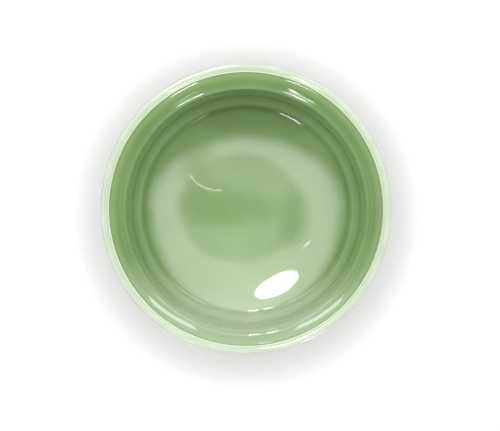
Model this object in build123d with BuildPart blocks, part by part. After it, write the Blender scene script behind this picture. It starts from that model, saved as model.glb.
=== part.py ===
from build123d import *
from math import cos, radians, sin, tan
import os

# A celadon tea bowl for whisking matcha, in millimetres, with +Z up.
# The origin is on the bowl's axis, in the plane that the foot stands on.
#
# The body is a thrown porcelain shell. A foot ring is luted to its underside, round a low boss.
# The glaze is a thin glassy coat, put on in four goes: poured round the inside, poured over the
# outside, wiped along the lip where the two pours meet, and dabbed inside the foot.
#
# Every surface is a chain of tangent arcs, drawn in the half plane of radius and height.
# A slope is the angle of the surface below the horizontal, walking in from the lip:
# 90 is a plumb wall, and more than 90 leans outwards on the way down.

# Overall sizes
rim_diameter = 120.0
overall_height = 70.0

# Walls
lip_thickness = 3.3
wall_thickness = 4.2
floor_thickness = 5.2
glaze_thickness = 0.4

# Inside: lip, collar, valley, bead, wall, hip and floor
lip_slope = 82.0            # where the round lip ends and the collar begins
throat_radius = 3.0         # tight curve just inside the lip
collar_top_slope = 43.0
collar_foot_slope = 30.0
collar_width = 4.2          # seen from above
valley_radius = 0.8         # the line between the collar and the bead, where glaze pools
bead_top_slope = 12.0
bead_radius = 2.6
wall_bow = 4.0              # the wall leans out and back in by this
hip_radius = 10.0
floor_edge_slope = 25.0

# Outside: lip, neck, belly, hip and underside
lip_underside_radius = 5.0
neck_slope = 45.0
belly_bow = 3.0
outer_hip_radius = 18.0
outer_hip_slope = 25.0
underside_slope = 10.0

# Foot
foot_diameter = 54.0
foot_height = 8.8           # from the table to the edge of the outer glaze
foot_ring_width = 4.0
foot_taper = 0.6            # the ring is narrower by this at the table, on its outside
foot_edge_radius = 0.8
recess_depth = 6.0          # from the table up to the glaze inside the foot
bare_band = 1.5             # clay left bare between the foot ring and the outer glaze

rim_radius = rim_diameter / 2
lip_radius = lip_thickness / 2
lip_centre = (rim_radius - lip_radius, overall_height - lip_radius)
foot_radius = foot_diameter / 2
boss_radius = foot_radius - foot_ring_width
floor_height = recess_depth + glaze_thickness + floor_thickness


def reach(radius, slope_from, slope_to):
    """How far an arc between two slopes runs towards the axis."""
    return radius * abs(sin(radians(slope_to)) - sin(radians(slope_from)))


def fall(radius, slope_from, slope_to):
    """How far an arc between two slopes drops."""
    return radius * abs(cos(radians(slope_to)) - cos(radians(slope_from)))


# The collar, the neck and the underside take the width that the other arcs leave them.
collar_radius = (collar_width - reach(throat_radius, lip_slope, collar_top_slope)) / reach(
    1, collar_top_slope, collar_foot_slope
)
wall_radius = (
    lip_centre[0]
    - lip_radius * sin(radians(lip_slope))
    - collar_width
    - reach(valley_radius, collar_foot_slope, bead_top_slope)
    - reach(bead_radius, bead_top_slope, 90 + wall_bow)
)
belly_radius = wall_radius + wall_thickness
neck_radius = (
    rim_radius - reach(lip_underside_radius, 90, neck_slope) - belly_radius
) / reach(1, neck_slope, 90 + belly_bow)
underside_radius = (
    belly_radius
    - reach(outer_hip_radius, 90 - belly_bow, outer_hip_slope)
    - foot_radius
    - bare_band
) / reach(1, outer_hip_slope, underside_slope)

# The wall and the belly take the height that is left, and their arcs are as flat as that needs.
floor_edge_radius = wall_radius - reach(hip_radius, 90 - wall_bow, floor_edge_slope)
floor_sphere_radius = floor_edge_radius / sin(radians(floor_edge_slope))
hip_top = (
    floor_height
    + fall(floor_sphere_radius, floor_edge_slope, 0)
    + fall(hip_radius, 90 - wall_bow, floor_edge_slope)
)
outer_hip_top = (
    foot_height
    + fall(underside_radius, outer_hip_slope, underside_slope)
    + fall(outer_hip_radius, 90 - belly_bow, outer_hip_slope)
)
wall_top = (
    lip_centre[1]
    + lip_radius * cos(radians(lip_slope))
    - fall(throat_radius, lip_slope, collar_top_slope)
    - fall(collar_radius, collar_top_slope, collar_foot_slope)
    - fall(valley_radius, collar_foot_slope, bead_top_slope)
    - fall(bead_radius, bead_top_slope, 90 + wall_bow)
)
belly_top = (
    lip_centre[1]
    - fall(lip_underside_radius, 90, neck_slope)
    - fall(neck_radius, neck_slope, 90 + belly_bow)
)
wall_arc_radius = (wall_top - hip_top) / fall(1, 90 + wall_bow, 90 - wall_bow)
belly_arc_radius = (belly_top - outer_hip_top) / fall(1, 90 + belly_bow, 90 - belly_bow)


def lip(depth, mode=Mode.ADD):
    """The round of the lip, from its outside over the crown to the collar, depth under the glaze."""
    return CenterArc(lip_centre, lip_radius - depth, 0, 90 + lip_slope, mode=mode)


def chain(start, slope, turns):
    """Tangent arcs from start towards the axis, and a list of them. Each turn is an arc's radius
    and the slope at its end: a steeper slope turns the surface down, and a gentler one up."""
    arcs = []
    for radius, next_slope in turns:
        heading = radians(180 + slope)
        arcs.append(JernArc(start, (cos(heading), sin(heading)), radius, next_slope - slope))
        start = arcs[-1] @ 1
        slope = next_slope
    return arcs


def inside(depth):
    """The inside surface, from the lip to the middle of the floor, depth under the glaze."""
    return chain(
        lip(depth, Mode.PRIVATE) @ 1,
        lip_slope,
        [
            (throat_radius + depth, collar_top_slope),
            (collar_radius + depth, collar_foot_slope),
            (valley_radius + depth, bead_top_slope),
            (bead_radius - depth, 90 + wall_bow),
            (wall_arc_radius + depth, 90 - wall_bow),
            (hip_radius + depth, floor_edge_slope),
            (floor_sphere_radius + depth, 0),
        ],
    )


def outside(depth):
    """The outside surface, from the lip to the edge of the outer glaze, depth under the glaze."""
    return chain(
        lip(depth, Mode.PRIVATE) @ 0,
        90,
        [
            (lip_underside_radius - depth, neck_slope),
            (neck_radius + depth, 90 + belly_bow),
            (belly_arc_radius - depth, 90 - belly_bow),
            (outer_hip_radius - depth, outer_hip_slope),
            (underside_radius - depth, underside_slope),
        ],
    )


# The foot ring seats on the bare clay, which carries on at the slope of the underside.
glaze_slope = radians(underside_slope)
seat_height = (
    foot_height
    + glaze_thickness * cos(glaze_slope)
    - (bare_band - glaze_thickness * sin(glaze_slope)) * tan(glaze_slope)
)
boss_height = recess_depth + glaze_thickness

# The porcelain shell: wall, floor, and the boss that the foot ring is luted round
with BuildPart() as clay_body:
    with BuildSketch(Plane.XZ):
        with BuildLine():
            lip(glaze_thickness)
            inner_skin = inside(glaze_thickness)
            outer_skin = outside(glaze_thickness)
            Polyline(
                outer_skin[-1] @ 1,
                (foot_radius, seat_height),
                (boss_radius, seat_height),
                (boss_radius, boss_height),
                (0, boss_height),
                inner_skin[-1] @ 1,
            )
        make_face()
    revolve(axis=Axis.Z)
clay_body.part.label = "clay_body"

# The foot ring: a separate coil of the same clay, turned to a taper and rounded where it stands
with BuildPart() as foot_ring:
    with BuildSketch(Plane.XZ) as foot_section:
        with BuildLine():
            Polyline(
                (boss_radius, seat_height),
                (foot_radius, seat_height),
                (foot_radius - foot_taper, 0),
                (boss_radius, 0),
                close=True,
            )
        make_face()
        fillet(foot_section.vertices().group_by(Axis.Y)[0], foot_edge_radius)
    revolve(axis=Axis.Z)
foot_ring.part.label = "foot_ring"

# The inside coat, from the middle of the floor up to the lip
with BuildPart() as inner_glaze:
    with BuildSketch(Plane.XZ):
        with BuildLine():
            surface = inside(0)
            bond = inside(glaze_thickness)
            Line(surface[0] @ 0, bond[0] @ 0)
            Line(surface[-1] @ 1, bond[-1] @ 1)
        make_face()
    revolve(axis=Axis.Z)
inner_glaze.part.label = "inner_glaze"

# The thin coat on the lip, between the inside and the outside coats
with BuildPart() as lip_glaze:
    with BuildSketch(Plane.XZ):
        with BuildLine():
            surface = lip(0)
            bond = lip(glaze_thickness)
            Line(surface @ 0, bond @ 0)
            Line(surface @ 1, bond @ 1)
        make_face()
    revolve(axis=Axis.Z)
lip_glaze.part.label = "lip_glaze"

# The outside coat, from the lip down to the bare band above the foot
with BuildPart() as outer_glaze:
    with BuildSketch(Plane.XZ):
        with BuildLine():
            surface = outside(0)
            bond = outside(glaze_thickness)
            Line(surface[0] @ 0, bond[0] @ 0)
            Line(surface[-1] @ 1, bond[-1] @ 1)
        make_face()
    revolve(axis=Axis.Z)
outer_glaze.part.label = "outer_glaze"

# The coat inside the foot, on the face of the boss
with BuildPart() as foot_well_glaze:
    with BuildSketch(Plane.XY.offset(recess_depth)):
        Circle(boss_radius)
    extrude(amount=glaze_thickness)
foot_well_glaze.part.label = "foot_well_glaze"

os.makedirs("parts", exist_ok=True)
for piece in (clay_body, foot_ring, inner_glaze, lip_glaze, outer_glaze, foot_well_glaze):
    export_step(piece.part, f"parts/{piece.part.label}.step")
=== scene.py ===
import bmesh
import bpy
from math import atan2, cos, pi, radians, sin
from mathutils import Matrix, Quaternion, Vector


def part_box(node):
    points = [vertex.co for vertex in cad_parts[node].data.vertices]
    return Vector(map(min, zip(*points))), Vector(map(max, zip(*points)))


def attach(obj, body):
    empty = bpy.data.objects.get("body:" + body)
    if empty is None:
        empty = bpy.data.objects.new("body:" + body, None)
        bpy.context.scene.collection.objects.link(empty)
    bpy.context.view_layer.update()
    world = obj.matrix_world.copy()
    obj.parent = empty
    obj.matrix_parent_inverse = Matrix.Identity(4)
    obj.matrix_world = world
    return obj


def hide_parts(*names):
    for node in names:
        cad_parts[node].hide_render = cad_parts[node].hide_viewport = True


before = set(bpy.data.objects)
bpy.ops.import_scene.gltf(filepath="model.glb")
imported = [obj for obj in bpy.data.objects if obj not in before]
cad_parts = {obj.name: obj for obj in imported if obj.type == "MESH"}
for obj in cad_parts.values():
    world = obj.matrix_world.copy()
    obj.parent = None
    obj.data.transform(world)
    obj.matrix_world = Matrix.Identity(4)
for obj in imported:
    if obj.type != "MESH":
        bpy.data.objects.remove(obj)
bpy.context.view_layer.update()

# ---------------------------------------------------------------------------------------------
# Clay body
# The thrown porcelain shell: wall, floor, and the low boss that the foot ring is luted round.
# Fired porcelain clay, dense and matt. Glaze hides all of it but a bare band beside the foot,
# where the kiln has toasted the clay along the edge of the glaze.
# ---------------------------------------------------------------------------------------------

CLAY_PALE = (0.68, 0.62, 0.52, 1)
CLAY_DUSTY = (0.56, 0.49, 0.38, 1)
CLAY_TOASTED = (0.46, 0.24, 0.11, 1)
CLAY_CLOUD = 70                 # patches to the metre, for the three sizes of marking in the clay
CLAY_MOTTLE = 240
CLAY_GRAIN = 2600
CLAY_GRAIN_DEPTH = 0.00006
CLAY_IOR = 1.45
BARE_BAND = 0.0015              # clay left bare between the foot ring and the outer glaze


def new_finish(name):
    """A material with one Principled shader, and its node tree, shader and object coordinates."""
    finish = bpy.data.materials.new(name)
    finish.use_nodes = True
    tree = finish.node_tree
    shader = tree.nodes["Principled BSDF"]
    place = tree.nodes.new("ShaderNodeTexCoord").outputs["Object"]
    return finish, tree, shader, place


def noise(tree, place, scale, detail=3.0, roughness=0.5):
    """Noise from 0 to 1, in scale cells to the metre."""
    node = tree.nodes.new("ShaderNodeTexNoise")
    node.inputs["Scale"].default_value = scale
    node.inputs["Detail"].default_value = detail
    node.inputs["Roughness"].default_value = roughness
    tree.links.new(place, node.inputs["Vector"])
    return node.outputs["Fac"]


def carry(tree, value, from_low, from_high, to_low, to_high):
    """Value carried smoothly from one range to another, and held at its ends."""
    node = tree.nodes.new("ShaderNodeMapRange")
    node.interpolation_type = "SMOOTHSTEP"
    tree.links.new(value, node.inputs["Value"])
    node.inputs["From Min"].default_value = from_low
    node.inputs["From Max"].default_value = from_high
    node.inputs["To Min"].default_value = to_low
    node.inputs["To Max"].default_value = to_high
    return node.outputs["Result"]


def sum_up(tree, operation, first, second=0.0):
    """Arithmetic on two values, each a socket or a number."""
    node = tree.nodes.new("ShaderNodeMath")
    node.operation = operation
    for socket, value in zip(node.inputs, (first, second)):
        if isinstance(value, (int, float)):
            socket.default_value = value
        else:
            tree.links.new(value, socket)
    return node.outputs[0]


def blend(tree, share, first, second):
    """Two colours mixed by share, each a socket or a colour."""
    node = tree.nodes.new("ShaderNodeMix")
    node.data_type = "RGBA"
    tree.links.new(share, node.inputs["Factor"])
    for socket, colour in ((node.inputs["A"], first), (node.inputs["B"], second)):
        if isinstance(colour, tuple):
            socket.default_value = colour
        else:
            tree.links.new(colour, socket)
    return node.outputs["Result"]


def relief(tree, height, depth, under=None):
    """Bump of that depth in metres, on top of another bump."""
    node = tree.nodes.new("ShaderNodeBump")
    node.inputs["Distance"].default_value = depth
    node.inputs["Strength"].default_value = 1.0
    tree.links.new(height, node.inputs["Height"])
    if under is not None:
        tree.links.new(under, node.inputs["Normal"])
    return node.outputs["Normal"]


def off_axis(tree, place):
    """Distance from the bowl's axis, in metres."""
    flat = tree.nodes.new("ShaderNodeVectorMath")
    flat.operation = "MULTIPLY"
    flat.inputs[1].default_value = (1, 1, 0)
    tree.links.new(place, flat.inputs[0])
    length = tree.nodes.new("ShaderNodeVectorMath")
    length.operation = "LENGTH"
    tree.links.new(flat.outputs["Vector"], length.inputs[0])
    return length.outputs["Value"]


def split_up(tree, place):
    """The three coordinates of a place."""
    node = tree.nodes.new("ShaderNodeSeparateXYZ")
    tree.links.new(place, node.inputs["Vector"])
    return node.outputs["X"], node.outputs["Y"], node.outputs["Z"]


def bare_clay(name, toast_from, toast_to):
    """Matt porcelain clay, toasted from one distance off the axis to another."""
    finish, tree, shader, place = new_finish(name)
    mottle = noise(tree, place, CLAY_MOTTLE, 5)
    grain = noise(tree, place, CLAY_GRAIN, 3, 0.6)
    cloud = noise(tree, place, CLAY_CLOUD, 3)
    clay = blend(tree, carry(tree, mottle, 0.35, 0.7, 0, 1), CLAY_PALE, CLAY_DUSTY)
    blush = carry(tree, off_axis(tree, place), toast_from, toast_to, 0, 1)
    blush = sum_up(tree, "MULTIPLY", blush, carry(tree, cloud, 0.3, 0.62, 0.25, 1))
    tree.links.new(blend(tree, blush, clay, CLAY_TOASTED), shader.inputs["Base Color"])
    tree.links.new(carry(tree, grain, 0.3, 0.7, 0.52, 0.8), shader.inputs["Roughness"])
    tree.links.new(relief(tree, grain, CLAY_GRAIN_DEPTH), shader.inputs["Normal"])
    shader.inputs["IOR"].default_value = CLAY_IOR
    return finish


foot_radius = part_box("foot_ring")[1].x
clay_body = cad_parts["clay_body"]
clay_body.data.materials.clear()
clay_body.data.materials.append(
    bare_clay("porcelain_body", foot_radius, foot_radius + BARE_BAND)
)

# ---------------------------------------------------------------------------------------------
# Inner glaze
# The celadon coat poured round the inside: collar, valley, bead, wall, hip and dished floor.
# A hard clear green glass over white clay, so it is pale where it is thin and deep where it pools.
# ---------------------------------------------------------------------------------------------

ROUND_STEPS = 288               # facets round the bowl
CELADON_THIN = (0.66, 0.75, 0.58, 1)
CELADON = (0.335, 0.48, 0.225, 1)
CELADON_DEEP = (0.19, 0.32, 0.115, 1)
CELADON_IOR = 1.6
GLAZE_CLOUD = 45                # patches to the metre, for the sizes of marking in the glaze
GLAZE_WAVE = 110
GLAZE_MOTTLE = 900
GLAZE_WAVE_DEPTH = 0.00003
GLAZE_MOTTLE_DEPTH = 0.000002
# Painted highlight: the inside is painted paler in front of the axis. It stands in for light and
# reflection on the near wall, not for thinner glaze.
PAINTED_PALE_FULL = 0.050               # painted paleness on the near side is full this far in front of the axis
PAINTED_PALE_END = 0.015               # and gone this far in front of it
PAINTED_PALENESS = 0.88
COLLAR_PAINTED_PALENESS = 0.5           # the share of that painted paleness on the collar, and on the floor
FLOOR_PAINTED_PALENESS = 0.65

GLAZE_THICKNESS = 0.0004
LIP_SLOPE = radians(82)         # slopes are angles below the horizontal, walking in to the axis
THROAT_RADIUS = 0.003
COLLAR_TOP = radians(43)
COLLAR_FOOT = radians(30)
COLLAR_WIDTH = 0.00414
VALLEY_RADIUS = 0.0008
BEAD_TOP = radians(22)
BEAD_RADIUS = 0.00369
WALL_BOW = radians(4)
WALL_SCALLOPS = 3               # shallow rings left by the thrower's fingers
RIDGE_TILT = radians(3)         # how far the wall tips either way beside a ridge
RIDGE_RADIUS = 0.0015
HIP_RADIUS = 0.006
STEP_TOP = radians(40)
STEP_RADIUS = 0.004
STEP_FOOT = radians(55)
FLOOR_EDGE = radians(25)
FLOOR_EDGE_RADIUS = 0.0450

lip_low, lip_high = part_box("lip_glaze")
rim_radius = lip_high.x
lip_radius = lip_high.z - lip_low.z
lip_middle = (rim_radius - lip_radius, lip_high.z - lip_radius)
floor_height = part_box("inner_glaze")[0].z + GLAZE_THICKNESS


def reach(radius, slope_from, slope_to):
    """How far an arc between two slopes runs towards the axis."""
    return radius * abs(sin(slope_to) - sin(slope_from))


def fall(radius, slope_from, slope_to):
    """How far an arc between two slopes drops."""
    return radius * abs(cos(slope_to) - cos(slope_from))


def draw_section(name, x, z, slope, turns):
    """A new mesh in edit mode: one vertex at x, z, spun along tangent arcs in the XZ plane. A turn
    is an arc's radius, the slope at its end, and how many steps it takes."""
    bpy.ops.object.select_all(action="DESELECT")
    bpy.ops.mesh.primitive_circle_add(vertices=3, radius=0.001)
    piece = bpy.context.active_object
    piece.name = piece.data.name = name
    bpy.ops.object.mode_set(mode="EDIT")
    bpy.ops.mesh.select_all(action="SELECT")
    bpy.ops.mesh.merge(type="CENTER")
    bpy.ops.transform.translate(value=(x, 0, z))
    for radius, end_slope, steps in turns:
        side = 1 if end_slope > slope else -1
        middle_x = x + side * radius * sin(slope)
        middle_z = z - side * radius * cos(slope)
        bpy.ops.mesh.spin(
            steps=steps, angle=end_slope - slope, center=(middle_x, 0, middle_z), axis=(0, 1, 0)
        )
        x = middle_x - side * radius * sin(end_slope)
        z = middle_z + side * radius * cos(end_slope)
        slope = end_slope
    return piece


def turn_round(piece, inside=False):
    """Spins the drawn section once round the axis. Its faces point away from what they enclose,
    or the other way round if inside."""
    bpy.ops.mesh.select_all(action="SELECT")
    bpy.ops.mesh.spin(steps=ROUND_STEPS, angle=2 * pi, center=(0, 0, 0), axis=(0, 0, 1))
    bpy.ops.mesh.select_all(action="SELECT")
    bpy.ops.mesh.remove_doubles(threshold=2e-6)
    bpy.ops.mesh.normals_make_consistent(inside=inside)
    bpy.ops.object.mode_set(mode="OBJECT")


def add_wall(piece, thickness):
    """Thickens the turned skin inwards to a closed shell, and smooths it."""
    wall = piece.modifiers.new("wall", "SOLIDIFY")
    wall.thickness = thickness
    wall.offset = -1
    wall.use_even_offset = True
    bpy.context.view_layer.objects.active = piece
    bpy.ops.object.modifier_apply(modifier=wall.name)
    bpy.ops.object.shade_smooth_by_angle(angle=radians(40))


wall_radius = (
    lip_middle[0]
    - lip_radius * sin(LIP_SLOPE)
    - COLLAR_WIDTH
    - reach(VALLEY_RADIUS, COLLAR_FOOT, BEAD_TOP)
    - reach(BEAD_RADIUS, BEAD_TOP, pi / 2 + WALL_BOW)
)
collar_radius = (COLLAR_WIDTH - reach(THROAT_RADIUS, LIP_SLOPE, COLLAR_TOP)) / reach(
    1, COLLAR_TOP, COLLAR_FOOT
)
step_foot_radius = (
    wall_radius
    - reach(HIP_RADIUS, pi / 2 - WALL_BOW, STEP_TOP)
    - reach(STEP_RADIUS, STEP_TOP, STEP_FOOT)
    - FLOOR_EDGE_RADIUS
) / reach(1, STEP_FOOT, FLOOR_EDGE)
floor_sphere = FLOOR_EDGE_RADIUS / sin(FLOOR_EDGE)
collar_foot_height = (
    lip_middle[1]
    + lip_radius * cos(LIP_SLOPE)
    - fall(THROAT_RADIUS, LIP_SLOPE, COLLAR_TOP)
    - fall(collar_radius, COLLAR_TOP, COLLAR_FOOT)
)
wall_top = (
    collar_foot_height
    - fall(VALLEY_RADIUS, COLLAR_FOOT, BEAD_TOP)
    - fall(BEAD_RADIUS, BEAD_TOP, pi / 2 + WALL_BOW)
)
floor_edge_height = floor_height + fall(floor_sphere, FLOOR_EDGE, 0)
step_height = floor_edge_height + fall(step_foot_radius, STEP_FOOT, FLOOR_EDGE)
wall_foot = (
    step_height
    + fall(STEP_RADIUS, STEP_TOP, STEP_FOOT)
    + fall(HIP_RADIUS, pi / 2 - WALL_BOW, STEP_TOP)
)


def scallop(slope_from, slope_to, height, scallops, tilt, ridge_radius, steps):
    """Turns for a wall of shallow rings, one over another, with a soft ridge between each two."""
    ends = [slope_from + (slope_to - slope_from) * k / scallops for k in range(scallops + 1)]
    starts = [ends[0]] + [end + tilt for end in ends[1:-1]]
    feet = [end - tilt for end in ends[1:-1]] + [ends[-1]]
    height -= sum(fall(ridge_radius, end - tilt, end + tilt) for end in ends[1:-1])
    radius = height / sum(fall(1, start, foot) for start, foot in zip(starts, feet))
    turns = []
    for start, foot in zip(starts, feet):
        if turns:
            turns.append((ridge_radius, start, 4))
        turns.append((radius, foot, steps))
    return turns


inner_glaze = draw_section(
    "glaze_inside",
    lip_middle[0] - lip_radius * sin(LIP_SLOPE),
    lip_middle[1] + lip_radius * cos(LIP_SLOPE),
    LIP_SLOPE,
    [
        (THROAT_RADIUS, COLLAR_TOP, 8),
        (collar_radius, COLLAR_FOOT, 8),
        (VALLEY_RADIUS, BEAD_TOP, 2),
        (BEAD_RADIUS, pi / 2 + WALL_BOW, 14),
        *scallop(
            pi / 2 + WALL_BOW,
            pi / 2 - WALL_BOW,
            wall_top - wall_foot,
            WALL_SCALLOPS,
            RIDGE_TILT,
            RIDGE_RADIUS,
            8,
        ),
        (HIP_RADIUS, STEP_TOP, 10),
        (STEP_RADIUS, STEP_FOOT, 5),
        (step_foot_radius, FLOOR_EDGE, 8),
        (floor_sphere, 0, 40),
    ],
)
turn_round(inner_glaze)
add_wall(inner_glaze, GLAZE_THICKNESS)


def band(tree, value, middle, half_width, strength):
    """A soft band of that strength, at one value and half_width to either side of it."""
    away = sum_up(tree, "ABSOLUTE", sum_up(tree, "SUBTRACT", value, middle))
    return carry(tree, away, 0, half_width, strength, 0)


def celadon(name, pools=(), thin_bands=(), paint_near_side_pale=False):
    """Glossy celadon glaze. Pools and thin bands are heights where it lies deep, and so dark, or
    thin, and so pale. Each is a height, a half width and a strength. If asked, the colour is also
    painted paler in front of the axis: a painted highlight for the light on the near wall."""
    finish, tree, shader, place = new_finish(name)
    cloud = noise(tree, place, GLAZE_CLOUD, 3)
    mottle = noise(tree, place, GLAZE_MOTTLE, 3, 0.6)
    wave = noise(tree, place, GLAZE_WAVE, 1, 0.3)
    _, back, height = split_up(tree, place)
    depth = carry(tree, cloud, 0.3, 0.7, 0.08, 0.32)
    depth = sum_up(tree, "ADD", depth, carry(tree, mottle, 0.3, 0.7, -0.05, 0.05))
    for pool in pools:
        depth = sum_up(tree, "ADD", depth, band(tree, height, *pool))
    colour = blend(tree, depth, CELADON, CELADON_DEEP)
    # Painted highlight: paler colour in front of the axis, standing in for light on the near side,
    # with less of it on the collar and the floor.
    if paint_near_side_pale:
        painted_pale = carry(tree, back, -PAINTED_PALE_FULL, -PAINTED_PALE_END, PAINTED_PALENESS, 0)
        off_collar = carry(tree, height, wall_top, collar_foot_height, 1, COLLAR_PAINTED_PALENESS)
        off_floor = carry(tree, height, step_height - 0.001, wall_foot, FLOOR_PAINTED_PALENESS, 1)
        painted_pale = sum_up(tree, "MULTIPLY", painted_pale, sum_up(tree, "MULTIPLY", off_collar, off_floor))
        colour = blend(tree, painted_pale, colour, CELADON_THIN)
    for thin_band in thin_bands:
        colour = blend(tree, band(tree, height, *thin_band), colour, CELADON_THIN)
    tree.links.new(colour, shader.inputs["Base Color"])
    tree.links.new(carry(tree, mottle, 0.3, 0.7, 0.03, 0.06), shader.inputs["Roughness"])
    waves = relief(tree, wave, GLAZE_WAVE_DEPTH)
    tree.links.new(relief(tree, mottle, GLAZE_MOTTLE_DEPTH, waves), shader.inputs["Normal"])
    shader.inputs["IOR"].default_value = CELADON_IOR
    return finish


lip_edge = (lip_middle[1] + lip_radius * cos(LIP_SLOPE), 0.0003, 1.0)
inner_glaze.data.materials.append(
    celadon(
        "celadon_inside",
        pools=[
            (collar_foot_height + 0.0004, 0.0021, 0.75),    # in the line above the bead
            (wall_top + 0.0003, 0.0012, 1.0),               # under the bead
            (wall_foot + 0.001, 0.004, 0.4),                # where the wall turns in
            (floor_edge_height + 0.0007, 0.0013, 0.5),      # round the edge of the floor
        ],
        thin_bands=[lip_edge, (step_height + 0.0004, 0.0014, 0.15)],
        # paints the near side paler: a painted highlight
        paint_near_side_pale=True,
    )
)
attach(inner_glaze, "root")
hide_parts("inner_glaze")

# ---------------------------------------------------------------------------------------------
# Outer glaze
# The celadon coat poured over the outside: under the lip, neck, belly, hip and underside.
# It stops short of the foot in a thick rounded roll, where the glaze gathered as it ran down.
# ---------------------------------------------------------------------------------------------

LIP_UNDERSIDE_RADIUS = 0.005
NECK_SLOPE = radians(45)
BELLY_BOW = radians(3)
BELLY_RINGS = 6                 # throwing rings, shallower than those inside
BELLY_RING_TILT = radians(1.2)
OUTER_HIP_RADIUS = 0.018
OUTER_HIP_SLOPE = radians(25)
UNDERSIDE_SLOPE = radians(10)
WALL_THICKNESS = 0.0042
ROLL_SHOULDER = 0.0016          # where the glaze starts to thicken into the roll
ROLL_SLOPE = radians(24)
ROLL_RADIUS = 0.0006
ROLL_END = radians(-75)
LINE_WAVER = 0.00045            # how far the edge of the glaze strays from a true circle
LINE_WAVER_REACH = 0.004
UNDER_LIP_THINNING = 0.0022     # how far below the lip the glaze is still thin

glaze_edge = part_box("outer_glaze")[0].z
belly_radius = wall_radius + WALL_THICKNESS
neck_width = rim_radius - reach(LIP_UNDERSIDE_RADIUS, pi / 2, NECK_SLOPE) - belly_radius
neck_radius = neck_width / reach(1, NECK_SLOPE, pi / 2 + BELLY_BOW)
roll_reach = reach(ROLL_SHOULDER, UNDERSIDE_SLOPE, ROLL_SLOPE) + reach(
    ROLL_RADIUS, ROLL_SLOPE, ROLL_END
)
underside_foot = glaze_edge + roll_reach * sin(UNDERSIDE_SLOPE)
underside_radius = (
    belly_radius
    - reach(OUTER_HIP_RADIUS, pi / 2 - BELLY_BOW, OUTER_HIP_SLOPE)
    - foot_radius
    - BARE_BAND
    - roll_reach
) / reach(1, OUTER_HIP_SLOPE, UNDERSIDE_SLOPE)
belly_top = (
    lip_middle[1]
    - fall(LIP_UNDERSIDE_RADIUS, pi / 2, NECK_SLOPE)
    - fall(neck_radius, NECK_SLOPE, pi / 2 + BELLY_BOW)
)
belly_foot = (
    underside_foot
    + fall(underside_radius, OUTER_HIP_SLOPE, UNDERSIDE_SLOPE)
    + fall(OUTER_HIP_RADIUS, pi / 2 - BELLY_BOW, OUTER_HIP_SLOPE)
)
outer_glaze = draw_section(
    "glaze_outside",
    rim_radius,
    lip_middle[1],
    pi / 2,
    [
        (LIP_UNDERSIDE_RADIUS, NECK_SLOPE, 8),
        (neck_radius, pi / 2 + BELLY_BOW, 12),
        *scallop(
            pi / 2 + BELLY_BOW,
            pi / 2 - BELLY_BOW,
            belly_top - belly_foot,
            BELLY_RINGS,
            BELLY_RING_TILT,
            RIDGE_RADIUS,
            6,
        ),
        (OUTER_HIP_RADIUS, OUTER_HIP_SLOPE, 18),
        (underside_radius, UNDERSIDE_SLOPE, 8),
        (ROLL_SHOULDER, ROLL_SLOPE, 4),
        (ROLL_RADIUS, ROLL_END, 10),
    ],
)
turn_round(outer_glaze)
line_radius = foot_radius + BARE_BAND
for vertex in outer_glaze.data.vertices:
    out = Vector((vertex.co.x, vertex.co.y, 0))
    if vertex.co.z < belly_foot and out.length < line_radius + LINE_WAVER_REACH:
        share = 1 - (out.length - line_radius) / LINE_WAVER_REACH
        turn = atan2(out.y, out.x)
        waver = (1 + 0.6 * sin(3 * turn + 1) + 0.4 * sin(8 * turn)) / 2
        move = out.normalized() * LINE_WAVER * waver * share
        vertex.co += move + Vector((0, 0, move.length * sin(UNDERSIDE_SLOPE)))
add_wall(outer_glaze, GLAZE_THICKNESS)
outer_glaze.data.materials.append(
    celadon("celadon_outside", thin_bands=[(lip_middle[1], UNDER_LIP_THINNING, 1.0)])
)
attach(outer_glaze, "root")
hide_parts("outer_glaze")

# ---------------------------------------------------------------------------------------------
# Lip glaze
# The band of glaze over the lip. Glaze drains off so sharp an edge while it melts,
# so the white clay shows through it.
# ---------------------------------------------------------------------------------------------

LIP_EDGE_WHITE = (0.745, 0.875, 0.63, 1)
CELADON_BARE = (0.69, 0.74, 0.645, 1)
CROWN_INSIDE = 0.0574           # inside this, all the glaze has drained off the lip's edge
CROWN_OUTSIDE = 0.0594
DRAINED = 0.0005                # how gradually it drains, to either side of that
TINT_INSIDE = 0.36              # how green the glaze is inside the crown, and outside it
TINT_OUTSIDE = 0.12
LIP_CLOUD = 90                  # patches to the metre

lip_glaze = draw_section(
    "glaze_lip", rim_radius, lip_middle[1], -pi / 2, [(lip_radius, LIP_SLOPE, 24)]
)
turn_round(lip_glaze)
add_wall(lip_glaze, GLAZE_THICKNESS)


def drained_celadon(name):
    """Glossy glaze, thin over white clay, and thinnest of all on the inner edge of the lip."""
    finish, tree, shader, place = new_finish(name)
    cloud = noise(tree, place, LIP_CLOUD, 3)
    mottle = noise(tree, place, GLAZE_MOTTLE, 3, 0.6)
    out = off_axis(tree, place)
    tint = carry(tree, out, CROWN_INSIDE, CROWN_OUTSIDE, TINT_INSIDE, TINT_OUTSIDE)
    tint = sum_up(tree, "ADD", tint, carry(tree, cloud, 0.3, 0.7, -0.1, 0.1))
    crown = carry(tree, out, CROWN_INSIDE - DRAINED, CROWN_INSIDE + DRAINED, 0, 1)
    colour = blend(tree, crown, LIP_EDGE_WHITE, blend(tree, tint, CELADON_BARE, CELADON))
    tree.links.new(colour, shader.inputs["Base Color"])
    tree.links.new(carry(tree, mottle, 0.3, 0.7, 0.05, 0.1), shader.inputs["Roughness"])
    tree.links.new(relief(tree, mottle, GLAZE_MOTTLE_DEPTH), shader.inputs["Normal"])
    shader.inputs["IOR"].default_value = CELADON_IOR
    return finish


lip_glaze.data.materials.append(drained_celadon("celadon_lip"))
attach(lip_glaze, "root")
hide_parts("lip_glaze")

# ---------------------------------------------------------------------------------------------
# Foot ring
# A coil of the same porcelain clay, luted on with slip and then turned true. It is left bare, and
# its standing edge is rubbed smooth so that the bowl doesn't scratch a table.
# ---------------------------------------------------------------------------------------------

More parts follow.
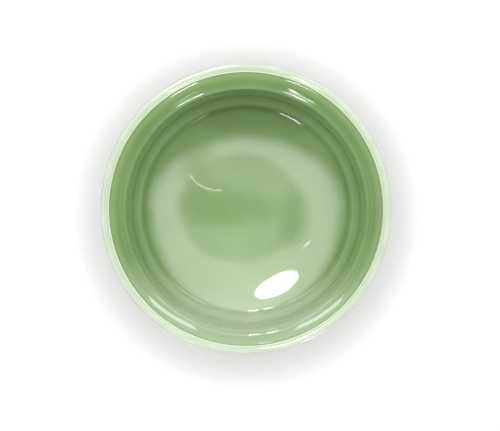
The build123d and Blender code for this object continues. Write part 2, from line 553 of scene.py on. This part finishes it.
CLAY_WORN = (0.42, 0.38, 0.31, 1)
WORN_HEIGHT = 0.0006            # how far up the standing edge is rubbed
TOAST_HEIGHT = 0.0022           # how far below the seat the clay is toasted
TURNING_LINES = 420             # how close the turning tool's fine lines lie: higher is finer
TURNING_LINE_DEPTH = 0.00002
FOOT_GRAIN_DEPTH = 0.00005

SLIP_FILLET = 0.0009
FOOT_TOP_SLOPE = radians(82)    # the outside leans in a little towards the table
TURNING_RINGS = 5
TURNING_TILT = radians(2.5)
TURNING_RIDGE = 0.0003
FOOT_EDGE_RADIUS = 0.0008
STAND_TILT = radians(1.5)       # the standing edge is very slightly crowned
FOOT_INSIDE_TILT = radians(2)
SUNK = 0.00005                  # how far the slip is worked into the body
LUTED_IN = 0.0001               # how far the ring is pressed up into the slip on its seat

body_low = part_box("clay_body")[0].z
well_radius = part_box("foot_well_glaze")[1].x
seat_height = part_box("foot_ring")[1].z
slip_out = reach(SLIP_FILLET, UNDERSIDE_SLOPE, FOOT_TOP_SLOPE)
slip_top = seat_height + slip_out * sin(UNDERSIDE_SLOPE) + SUNK
face_height = (
    slip_top
    - fall(SLIP_FILLET, UNDERSIDE_SLOPE, FOOT_TOP_SLOPE)
    - fall(FOOT_EDGE_RADIUS, pi / 2, STAND_TILT)
)
stand_width = (
    foot_radius
    - reach(face_height / fall(1, FOOT_TOP_SLOPE, pi / 2), FOOT_TOP_SLOPE, pi / 2)
    - 2 * reach(FOOT_EDGE_RADIUS, pi / 2, STAND_TILT)
    - well_radius
)
stand_arc = stand_width / reach(1, STAND_TILT, -STAND_TILT)
face_height -= fall(stand_arc, STAND_TILT, 0)
inside_height = body_low - fall(FOOT_EDGE_RADIUS, pi / 2, STAND_TILT)
inside_arc = inside_height / fall(1, pi / 2, pi / 2 - FOOT_INSIDE_TILT) / 2
foot_ring = draw_section(
    "foot_ring_turned",
    foot_radius + slip_out,
    slip_top,
    UNDERSIDE_SLOPE,
    [
        (SLIP_FILLET, FOOT_TOP_SLOPE, 6),
        *scallop(
            FOOT_TOP_SLOPE,
            pi / 2,
            face_height,
            TURNING_RINGS,
            TURNING_TILT,
            TURNING_RIDGE,
            5,
        ),
        (FOOT_EDGE_RADIUS, STAND_TILT, 8),
        (stand_arc, -STAND_TILT, 4),
        (FOOT_EDGE_RADIUS, -pi / 2 + FOOT_INSIDE_TILT, 8),
        (inside_arc, -pi / 2, 4),
        (inside_arc, -pi / 2 - FOOT_INSIDE_TILT, 4),
    ],
)
bpy.ops.mesh.extrude_region_move(
    TRANSFORM_OT_translate={"value": (0, 0, seat_height - body_low + LUTED_IN)}
)
bpy.ops.mesh.select_all(action="SELECT")
section = bmesh.from_edit_mesh(foot_ring.data)
loose_ends = [v for v in section.verts if len(v.link_edges) == 1]
bpy.ops.mesh.select_all(action="DESELECT")
for vertex in loose_ends:
    vertex.select = True
bpy.ops.mesh.edge_face_add()
turn_round(foot_ring)
bpy.ops.object.shade_smooth_by_angle(angle=radians(40))


def worn_clay(name):
    """Bare porcelain clay, with turning lines, grey where it is rubbed smooth to stand on."""
    finish, tree, shader, place = new_finish(name)
    mottle = noise(tree, place, CLAY_MOTTLE, 5)
    grain = noise(tree, place, CLAY_GRAIN, 3, 0.6)
    cloud = noise(tree, place, CLAY_CLOUD, 3)
    _, _, height = split_up(tree, place)
    clay = blend(tree, carry(tree, mottle, 0.35, 0.7, 0, 1), CLAY_PALE, CLAY_DUSTY)
    worn = carry(tree, height, 0, WORN_HEIGHT, 1, 0)
    worn = sum_up(tree, "MULTIPLY", worn, carry(tree, mottle, 0.3, 0.6, 0.4, 1))
    clay = blend(tree, worn, clay, CLAY_WORN)
    blush = carry(tree, height, seat_height - TOAST_HEIGHT, seat_height, 0, 0.8)
    blush = sum_up(tree, "MULTIPLY", blush, carry(tree, cloud, 0.35, 0.6, 0.2, 1))
    tree.links.new(blend(tree, blush, clay, CLAY_TOASTED), shader.inputs["Base Color"])
    rough = carry(tree, grain, 0.3, 0.7, 0.55, 0.8)
    rough = sum_up(tree, "SUBTRACT", rough, sum_up(tree, "MULTIPLY", worn, 0.2))
    tree.links.new(rough, shader.inputs["Roughness"])
    lines = tree.nodes.new("ShaderNodeTexWave")
    lines.bands_direction = "Z"
    lines.inputs["Scale"].default_value = TURNING_LINES
    lines.inputs["Distortion"].default_value = 2
    lines.inputs["Detail"].default_value = 3
    tree.links.new(place, lines.inputs["Vector"])
    turning = relief(tree, lines.outputs["Fac"], TURNING_LINE_DEPTH)
    tree.links.new(relief(tree, grain, FOOT_GRAIN_DEPTH, turning), shader.inputs["Normal"])
    shader.inputs["IOR"].default_value = CLAY_IOR
    return finish


foot_ring.data.materials.append(worn_clay("porcelain_foot"))
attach(foot_ring, "root")
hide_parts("foot_ring")

# ---------------------------------------------------------------------------------------------
# Foot well glaze
# Celadon dabbed inside the foot with a full brush. It creeps a little way down the clay of the
# foot ring, and lies over the low nub that turning leaves in the middle.
# ---------------------------------------------------------------------------------------------

CREEP_SLOPE = radians(-80)
CREEP_RADIUS = 0.0006
DISH_START = radians(-4)
DISH_END = radians(3)
NUB_SLOPE = radians(7)
NUB_SHOULDER = 0.015
NUB_FROM = 0.008                # distance off the axis where the nub begins

well_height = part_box("foot_well_glaze")[0].z
creep_reach = reach(CREEP_RADIUS, CREEP_SLOPE, DISH_START)
dish_radius = (well_radius - creep_reach - NUB_FROM) / reach(1, DISH_START, DISH_END)
nub_radius = (NUB_FROM - reach(NUB_SHOULDER, DISH_END, NUB_SLOPE)) / sin(NUB_SLOPE)
foot_well = draw_section(
    "glaze_foot_well",
    well_radius,
    well_height - fall(CREEP_RADIUS, CREEP_SLOPE, DISH_START),
    CREEP_SLOPE,
    [
        (CREEP_RADIUS, DISH_START, 8),
        (dish_radius, DISH_END, 12),
        (NUB_SHOULDER, NUB_SLOPE, 4),
        (nub_radius, 0, 10),
    ],
)
turn_round(foot_well, inside=True)
add_wall(foot_well, GLAZE_THICKNESS)
foot_well.data.materials.append(
    celadon("celadon_foot_well", thin_bands=[(well_height - CREEP_RADIUS, CREEP_RADIUS, 0.8)])
)
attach(foot_well, "root")
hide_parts("foot_well_glaze")

# ---------------------------------------------------------------------------------------------
# Table
# A plain white table top, matt and seamless. It only gives the bowl something to stand on
# and to throw its shadow on.
# ---------------------------------------------------------------------------------------------

TABLE_SIZE = 8
TABLE_WHITE = (0.36, 0.36, 0.36, 1)
TABLE_ROUGHNESS = 0.7

bpy.ops.object.select_all(action="DESELECT")
bpy.ops.mesh.primitive_plane_add(size=TABLE_SIZE, location=(0, 0, 0))
table = bpy.context.active_object
table.name = "table"
table_finish, _, table_shader, _ = new_finish("table_white")
table_shader.inputs["Base Color"].default_value = TABLE_WHITE
table_shader.inputs["Roughness"].default_value = TABLE_ROUGHNESS
table.data.materials.append(table_finish)

# ---------------------------------------------------------------------------------------------
# Lights
# A white room, a long soft light overhead and a little behind, a low one in front for the collar
# and the lip, and a ring of lamps that whitens the table alone. The glaze mirrors a diffuser with
# a soft hole in it for the camera, and cards, lamps and tubes hung round the bowl. Those only
# shine in the glaze, and light nothing.
# ---------------------------------------------------------------------------------------------

ROOM_WHITE = 0.56
DIFFUSER_HEIGHT = 1.07
DIFFUSER_SIZE = 4
OVERHEAD_BACK = 0.28
TABLE_LAMPS = 12
TABLE_LAMP_RING = 0.38
TABLE_LAMP_BACK = 0.05
TABLE_LAMP_HEIGHT = 1.5

world = bpy.data.worlds.new("room")
bpy.context.scene.world = world
world.use_nodes = True
world.node_tree.nodes["Background"].inputs["Color"].default_value = (1, 1, 1, 1)
world.node_tree.nodes["Background"].inputs["Strength"].default_value = ROOM_WHITE
world.cycles_visibility.glossy = False


def hang_light(name, place, aim, width, height, radiance, shines_on):
    """A soft light aimed at a point, that lights some things only. The glaze doesn't mirror it."""
    data = bpy.data.lights.new(name, "AREA")
    data.shape = "RECTANGLE"
    data.size = width
    data.size_y = height
    data.energy = radiance * width * height * pi        # watts that give that radiance
    light = bpy.data.objects.new(name, data)
    bpy.context.collection.objects.link(light)
    light.location = place
    light.rotation_euler = (Vector(aim) - light.location).to_track_quat("-Z", "Y").to_euler()
    light.visible_glossy = False
    light.visible_camera = False
    chosen = bpy.data.collections.new(name + "_shines_on")
    for thing in shines_on:
        chosen.objects.link(thing)
    light.light_linking.receiver_collection = chosen


bowl = [clay_body, foot_ring, foot_well, inner_glaze, outer_glaze, lip_glaze]
hang_light(
    "soft_overhead",
    place=(0, OVERHEAD_BACK, DIFFUSER_HEIGHT),
    aim=(0, OVERHEAD_BACK, 0),
    width=2.2,
    height=0.36,
    radiance=4.4,
    shines_on=bowl,
)
hang_light(
    "collar_light",
    place=(0, -1.2, 0.22),
    aim=(0, 0, 0.06),
    width=1.4,
    height=0.2,
    radiance=3.4,
    shines_on=[inner_glaze, lip_glaze],
)
for k in range(TABLE_LAMPS):
    turn = 2 * pi * k / TABLE_LAMPS
    across = TABLE_LAMP_RING * cos(turn)
    back = TABLE_LAMP_RING * sin(turn) + TABLE_LAMP_BACK
    hang_light(
        "table_lamp",
        place=(across, back, TABLE_LAMP_HEIGHT),
        aim=(across, back, 0),
        width=0.2,
        height=0.2,
        radiance=43,
        shines_on=[table],
    )


def mirror_only(thing, name):
    """Gives a card or a tube a glow that only the glaze sees, and returns its tree and glow."""
    finish = bpy.data.materials.new(name)
    finish.use_nodes = True
    finish.cycles.emission_sampling = "NONE"
    tree = finish.node_tree
    tree.nodes.clear()
    glow = tree.nodes.new("ShaderNodeEmission")
    see_through = tree.nodes.new("ShaderNodeBsdfTransparent")
    both = tree.nodes.new("ShaderNodeAddShader")
    tree.links.new(glow.outputs[0], both.inputs[0])
    tree.links.new(see_through.outputs[0], both.inputs[1])
    tree.links.new(both.outputs[0], tree.nodes.new("ShaderNodeOutputMaterial").inputs["Surface"])
    thing.name = name
    thing.data.materials.append(finish)
    thing.visible_camera = False
    thing.visible_diffuse = False
    thing.visible_shadow = False
    return tree, glow


def oval_distance(tree, place, middle, half_size):
    """How far out in a flat oval: 0 at its middle and 1 at its edge."""
    node = tree.nodes.new("ShaderNodeMapping")
    node.inputs["Location"].default_value = (-middle[0] / half_size[0], -middle[1] / half_size[1], 0)
    node.inputs["Scale"].default_value = (1 / half_size[0], 1 / half_size[1], 1)
    tree.links.new(place, node.inputs["Vector"])
    return off_axis(tree, node.outputs["Vector"])


def shade(tree, place, brightness, middle, half_size, light_left, fade_from=0.2, fade_to=1.15):
    """Brightness dimmed in a soft oval, to the share of light left at its middle."""
    out = oval_distance(tree, place, middle, half_size)
    dimmed = carry(tree, out, fade_from, fade_to, light_left, 1)
    return sum_up(tree, "MULTIPLY", brightness, dimmed)


# The diffuser: an oval sheet that reaches further back than forward, and is dimmer at the back.
FRONT_HALF = (1.0, 0.66)        # how far it reaches from the axis, across and forward
BACK_HALF = (1.0, 1.25)         # and across and back
BRIGHT_FRONT = 3.8
DIM_BACK = 2.1

bpy.ops.object.select_all(action="DESELECT")
bpy.ops.mesh.primitive_plane_add(size=DIFFUSER_SIZE, location=(0, 0, DIFFUSER_HEIGHT))
diffuser = bpy.context.active_object
tree, glow = mirror_only(diffuser, "diffuser")
place = tree.nodes.new("ShaderNodeTexCoord").outputs["Object"]
_, back, _ = split_up(tree, place)
inside_front = carry(tree, oval_distance(tree, place, (0, 0), FRONT_HALF), 0.8, 1.08, 1, 0)
inside_back = carry(tree, oval_distance(tree, place, (0, 0), BACK_HALF), 0.8, 1.02, 1, 0)
sheet = blend(tree, carry(tree, back, -0.05, 0.05, 0, 1), inside_front, inside_back)
brightness = carry(tree, back, 0.3, 0.9, BRIGHT_FRONT, DIM_BACK)
brightness = sum_up(tree, "MULTIPLY", brightness, sheet)

# The hole for the camera, its darker middle, right and left, and a fold in front on the right.
brightness = shade(
    tree, place, brightness, (0.05, 0), (0.53, 0.47), light_left=0.5, fade_from=0.85, fade_to=1.1
)
brightness = shade(tree, place, brightness, (0.08, 0), (0.45, 0.22), light_left=0.15)
brightness = shade(tree, place, brightness, (0.34, -0.04), (0.32, 0.24), light_left=0.1)
brightness = shade(tree, place, brightness, (-0.4, 0.08), (0.2, 0.32), light_left=0.3)
brightness = shade(tree, place, brightness, (0.44, -0.46), (0.22, 0.34), light_left=0.5)
tree.links.new(brightness, glow.inputs["Strength"])

CARD_AIM = Vector((0, 0, 0.04))


def away_from_bowl(bearing, elevation):
    """The direction from the bowl to something hung at a bearing, clockwise from +Y seen from
    above, and at an elevation, both in degrees."""
    turn = radians(bearing)
    lift = radians(elevation)
    return Vector((cos(lift) * sin(turn), cos(lift) * cos(turn), sin(lift)))


def hang_card(name, bearing, elevation, distance, width, height, top, bottom=None, soft=0.1, roll=0):
    """A glowing card aimed at the bowl, which only the glaze sees. A roll lowers the card's left
    end, seen from the bowl. Its glow goes from bottom to top, and fades out over its soft edge."""
    away = away_from_bowl(bearing, elevation)
    bpy.ops.object.select_all(action="DESELECT")
    bpy.ops.mesh.primitive_plane_add(size=2, location=CARD_AIM + distance * away)
    card = bpy.context.active_object
    card.rotation_euler = (
        away.to_track_quat("Z", "Y") @ Quaternion((0, 0, 1), radians(-roll))
    ).to_euler()
    card.scale = (width / 2, height / 2, 1)
    tree, glow = mirror_only(card, name)
    place = tree.nodes.new("ShaderNodeTexCoord").outputs["Object"]
    across, up, _ = split_up(tree, place)
    strength = carry(tree, up, -1, 1, top if bottom is None else bottom, top)
    for coordinate in (across, up):
        off_middle = sum_up(tree, "ABSOLUTE", coordinate)
        strength = sum_up(tree, "MULTIPLY", strength, carry(tree, off_middle, 1 - soft, 1, 1, 0))
    tree.links.new(strength, glow.inputs["Strength"])


# Two softboxes behind make the broad pale crescents on the near side of the collar.
SOFTBOX = {"elevation": 26, "distance": 1.1, "width": 0.46, "height": 0.22, "top": 6.5, "bottom": 4.5}
hang_card("softbox_left", bearing=-35, roll=20, **SOFTBOX)
hang_card("softbox_right", bearing=35, roll=-20, **SOFTBOX)

# Two strips in front make the streaks on the far side of the collar, one fainter than the other.
hang_card("strip_left", -154, 40, 1.1, width=0.24, height=0.03, top=70, roll=35)
hang_card("strip_right", 152, 38, 1.1, width=0.2, height=0.025, top=14, roll=-20)

# Two lights low in front make the small glints on the far side, beside the lip.
GLINT = {"elevation": 6, "distance": 1.1, "width": 0.3, "height": 0.04, "top": 140, "soft": 0.3}
hang_card("glint_left", bearing=-155, **GLINT)
hang_card("glint_right", bearing=153, **GLINT)

# Two pairs of small lamps behind make the short dashes at the near side, on floor and collar.
hang_card("lamp_left", -12.7, 41, 1.0, width=0.071, height=0.06, top=60)
hang_card("lamp_right", -4.5, 41, 1.0, width=0.086, height=0.06, top=60)
hang_card("lamp_low_left", 11.5, 5, 1.0, width=0.12, height=0.025, top=45)
hang_card("lamp_low_right", -8, 5, 1.0, width=0.17, height=0.025, top=45)

# A short straight tube makes the small dash on the near right of the floor.
hang_card("tube_right", -60, 59, 1.2, width=0.1, height=0.012, top=13, soft=0.3, roll=14)


def hang_bent_tube(name, middle, radius, start, sweep, width, strength):
    """A thin glowing tube bent to part of a circle, level, just under the diffuser."""
    height = DIFFUSER_HEIGHT - 0.01
    start_x = middle[0] + radius * cos(start)
    start_y = middle[1] + radius * sin(start)
    bpy.ops.object.select_all(action="DESELECT")
    bpy.ops.mesh.primitive_circle_add(vertices=3, radius=0.001)
    tube = bpy.context.active_object
    bpy.ops.object.mode_set(mode="EDIT")
    bpy.ops.mesh.select_all(action="SELECT")
    bpy.ops.mesh.merge(type="CENTER")
    bpy.ops.transform.translate(value=(start_x, start_y, height))
    bpy.ops.mesh.extrude_region_move(
        TRANSFORM_OT_translate={"value": (width * cos(start), width * sin(start), 0)}
    )
    bpy.ops.mesh.select_all(action="SELECT")
    bpy.ops.mesh.spin(steps=24, angle=sweep, center=(middle[0], middle[1], height), axis=(0, 0, 1))
    bpy.ops.object.mode_set(mode="OBJECT")
    tree, glow = mirror_only(tube, name)
    glow.inputs["Strength"].default_value = strength


# The bent tube makes the thin curved line on the far left of the floor.
hang_bent_tube(
    "tube_left",
    middle=(0.22, -0.45),
    radius=0.3,
    start=radians(95),
    sweep=radians(62),
    width=0.010,
    strength=7,
)

# The oval lamp makes the one big white highlight.
OVAL_BEARING = -21.8
OVAL_ELEVATION = 53.7
OVAL_DISTANCE = 1.15
OVAL_HALF_LENGTH = 0.198
OVAL_HALF_HEIGHT = 0.085
OVAL_ROLL = radians(7)
OVAL_GLOW = 24

away = away_from_bowl(OVAL_BEARING, OVAL_ELEVATION)
bpy.ops.object.select_all(action="DESELECT")
bpy.ops.mesh.primitive_circle_add(
    vertices=64, radius=1, fill_type="NGON", location=CARD_AIM + OVAL_DISTANCE * away
)
oval = bpy.context.active_object
oval.rotation_euler = (away.to_track_quat("Z", "Y") @ Quaternion((0, 0, 1), OVAL_ROLL)).to_euler()
oval.scale = (OVAL_HALF_LENGTH, OVAL_HALF_HEIGHT, 1)
tree, glow = mirror_only(oval, "oval_lamp")
glow.inputs["Strength"].default_value = OVAL_GLOW

# ---------------------------------------------------------------------------------------------
# Camera
# It looks straight down from 600 mm above the rim, a few millimetres off the bowl's axis.
# ---------------------------------------------------------------------------------------------

CAMERA_LENS = 105.4
CAMERA_ABOVE_RIM = 0.6
CAMERA_ACROSS = 0.00164
CAMERA_BACK = -0.00266

camera_data = bpy.data.cameras.new("camera")
camera_data.lens = CAMERA_LENS
camera = bpy.data.objects.new("camera", camera_data)
bpy.context.collection.objects.link(camera)
camera.location = (CAMERA_ACROSS, CAMERA_BACK, lip_high.z + CAMERA_ABOVE_RIM)
bpy.context.scene.camera = camera
bpy.context.scene.view_settings.view_transform = "Standard"
